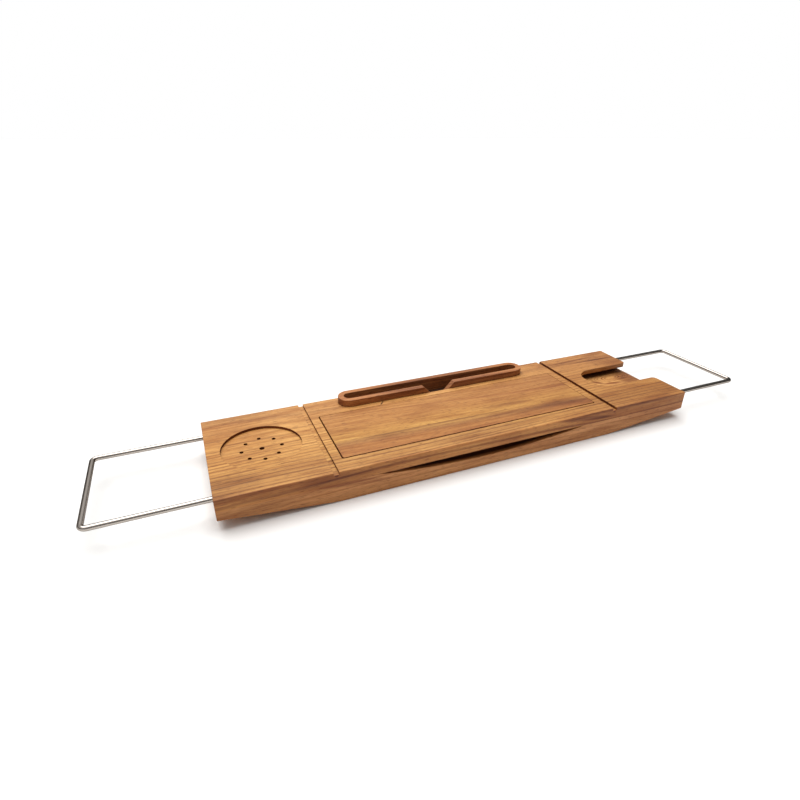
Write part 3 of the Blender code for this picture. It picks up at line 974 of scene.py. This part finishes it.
# %% A tree that bends wire
def wire_tree():
    """A geometry tree that rounds the corners of a guide and carries a wire along it."""
    tree = new_shape_tree("bent wire", [
        ("Guide", "Geometry"), ("Bend Radius", "Float"), ("Wire Radius", "Float"),
        ("Bend Steps", "Int"), ("Section Steps", "Int"), ("Material", "Material"),
    ], "Wire")
    given = add_node(tree, "NodeGroupInput").outputs
    line = add_node(tree, "GeometryNodeMeshToCurve", {"Mesh": given["Guide"]})
    rounded = add_node(tree, "GeometryNodeFilletCurve", {
        "Curve": line.outputs[0], "Radius": given["Bend Radius"], "Count": given["Bend Steps"],
        "Limit Radius": True,
    }, mode="POLY")
    distance = add_node(tree, "GeometryNodeSplineParameter").outputs["Length"]
    measured = add_node(tree, "GeometryNodeStoreNamedAttribute", {
        "Geometry": rounded.outputs[0], "Name": "along_wire", "Value": distance,
    }, data_type="FLOAT", domain="POINT")
    circle = add_node(tree, "GeometryNodeCurvePrimitiveCircle", {
        "Resolution": given["Section Steps"], "Radius": given["Wire Radius"],
    })
    turn = add_node(tree, "GeometryNodeSplineParameter").outputs["Factor"]
    marked = add_node(tree, "GeometryNodeStoreNamedAttribute", {
        "Geometry": circle.outputs[0], "Name": "round_wire", "Value": turn,
    }, data_type="FLOAT", domain="POINT")
    swept = add_node(tree, "GeometryNodeCurveToMesh", {
        "Curve": measured.outputs[0], "Profile Curve": marked.outputs[0], "Fill Caps": True,
    })
    along = add_node(tree, "GeometryNodeInputNamedAttribute", {"Name": "along_wire"})
    around = add_node(tree, "GeometryNodeInputNamedAttribute", {"Name": "round_wire"})
    place = add_node(tree, "ShaderNodeCombineXYZ", {
        "X": along.outputs["Attribute"], "Y": around.outputs["Attribute"],
    })
    placed = add_node(tree, "GeometryNodeStoreNamedAttribute", {
        "Geometry": swept.outputs[0], "Name": "wire_place", "Value": place.outputs[0],
    }, data_type="FLOAT_VECTOR", domain="POINT")
    end_tree(tree, placed.outputs[0], given["Material"], "Wire")
    return tree


bent_wire = wire_tree()
print("wire tree nodes:", len(bent_wire.nodes))

# %% The two arms
BEND_RADIUS = 6 * MM
BEND_STEPS = 16
SECTION_STEPS = 32


def make_arm(side):
    """One arm, from the ends inside the tray round the outer bar."""
    low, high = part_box(side + "_arm")
    wire_radius = (high.z - low.z) / 2
    level = (high.z + low.z) / 2
    if side == "left":
        inner = high.x
        outer = low.x + wire_radius
    else:
        inner = low.x
        outer = high.x - wire_radius
    front = low.y + wire_radius
    back = high.y - wire_radius
    corners = [(inner, front), (outer, front), (outer, back), (inner, back)]
    guide = bpy.data.meshes.new(side + "_arm_guide")
    guide.from_pydata([(x, y, level) for x, y in corners], [(0, 1), (1, 2), (2, 3)], [])
    arm = grow(guide, bent_wire, {
        "Bend Radius": BEND_RADIUS, "Wire Radius": wire_radius,
        "Bend Steps": BEND_STEPS, "Section Steps": SECTION_STEPS, "Material": steel,
    }, "steel_" + side + "_arm")
    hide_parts(side + "_arm")
    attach(arm, side + "_arm")


SIDES = ("left", "right")
for side in SIDES:
    make_arm(side)

# %% [markdown]
# ## Bushes and stops
# Each rod slides in a turned nylon bush at the mouth of its bore, and carries a moulded rubber
# stop on its end. They are all the same form, a short tube with eased edges, so one tree turns a
# profile into a tube and sets a copy at each point of its guide.

# %% A tree that sets tubes on points
EASE_STEPS = 3


def sleeve_tree():
    """A geometry tree that sets a short tube about X at each point of a guide."""
    tree = new_shape_tree("sleeves", [
        ("Places", "Geometry"), ("Length", "Float"), ("Outer Radius", "Float"),
        ("Inner Radius", "Float"), ("Ease", "Float"), ("Round Steps", "Int"),
        ("Material", "Material"),
    ], "Sleeves")
    given = add_node(tree, "NodeGroupInput").outputs
    wall = add_node(tree, "ShaderNodeMath", {
        0: given["Outer Radius"], 1: given["Inner Radius"],
    }, operation="SUBTRACT")
    total = add_node(tree, "ShaderNodeMath", {
        0: given["Outer Radius"], 1: given["Inner Radius"],
    }, operation="ADD")
    middle = add_node(tree, "ShaderNodeMath", {0: total.outputs[0], 1: 0.5}, operation="MULTIPLY")
    section = add_node(tree, "GeometryNodeCurvePrimitiveQuadrilateral", {
        "Width": wall.outputs[0], "Height": given["Length"],
    })
    eased = add_node(tree, "GeometryNodeFilletCurve", {
        "Curve": section.outputs[0], "Radius": given["Ease"], "Count": EASE_STEPS,
        "Limit Radius": True,
    }, mode="POLY")
    ring = add_node(tree, "GeometryNodeCurvePrimitiveCircle", {
        "Resolution": given["Round Steps"], "Radius": middle.outputs[0],
    })
    tube = add_node(tree, "GeometryNodeCurveToMesh", {
        "Curve": ring.outputs[0], "Profile Curve": eased.outputs[0],
    })
    laid = add_node(tree, "GeometryNodeTransform", {
        "Geometry": tube.outputs[0], "Rotation": (0.0, math.radians(90), 0.0),
    })
    copies = add_node(tree, "GeometryNodeInstanceOnPoints", {
        "Points": given["Places"], "Instance": laid.outputs[0],
    })
    end_tree(tree, copies.outputs[0], given["Material"], "Sleeves")
    return tree


sleeves = sleeve_tree()
print("sleeve tree nodes:", len(sleeves.nodes))

# %% Bushes in the tray, and stops on the arms
BUSH_WALL = 1.7 * MM
STOP_WALL = 1.0 * MM
SLEEVE_EASE = 0.3 * MM
SLEEVE_STEPS = 48
ROWS = ("front", "back")


def make_sleeves(piece_name, nodes, wall, material, body):
    """All the sleeves of one kind on one body, each where its CAD node is."""
    boxes = [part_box(node) for node in nodes]
    low, high = boxes[0]
    outer = (high.z - low.z) / 2
    guide = bpy.data.meshes.new(piece_name + "_guide")
    guide.from_pydata([tuple((low + high) / 2) for low, high in boxes], [], [])
    piece = grow(guide, sleeves, {
        "Length": high.x - low.x, "Outer Radius": outer, "Inner Radius": outer - wall,
        "Ease": SLEEVE_EASE, "Round Steps": SLEEVE_STEPS, "Material": material,
    }, piece_name)
    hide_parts(*nodes)
    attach(piece, body)


bushes = [f"{side}_{row}_bush" for side in SIDES for row in ROWS]
make_sleeves("nylon_bushes", bushes, BUSH_WALL, nylon, "tray")
for side in SIDES:
    stops = [f"{side}_{row}_rod_stop" for row in ROWS]
    make_sleeves(f"rubber_{side}_stops", stops, STOP_WALL, rubber, side + "_arm")
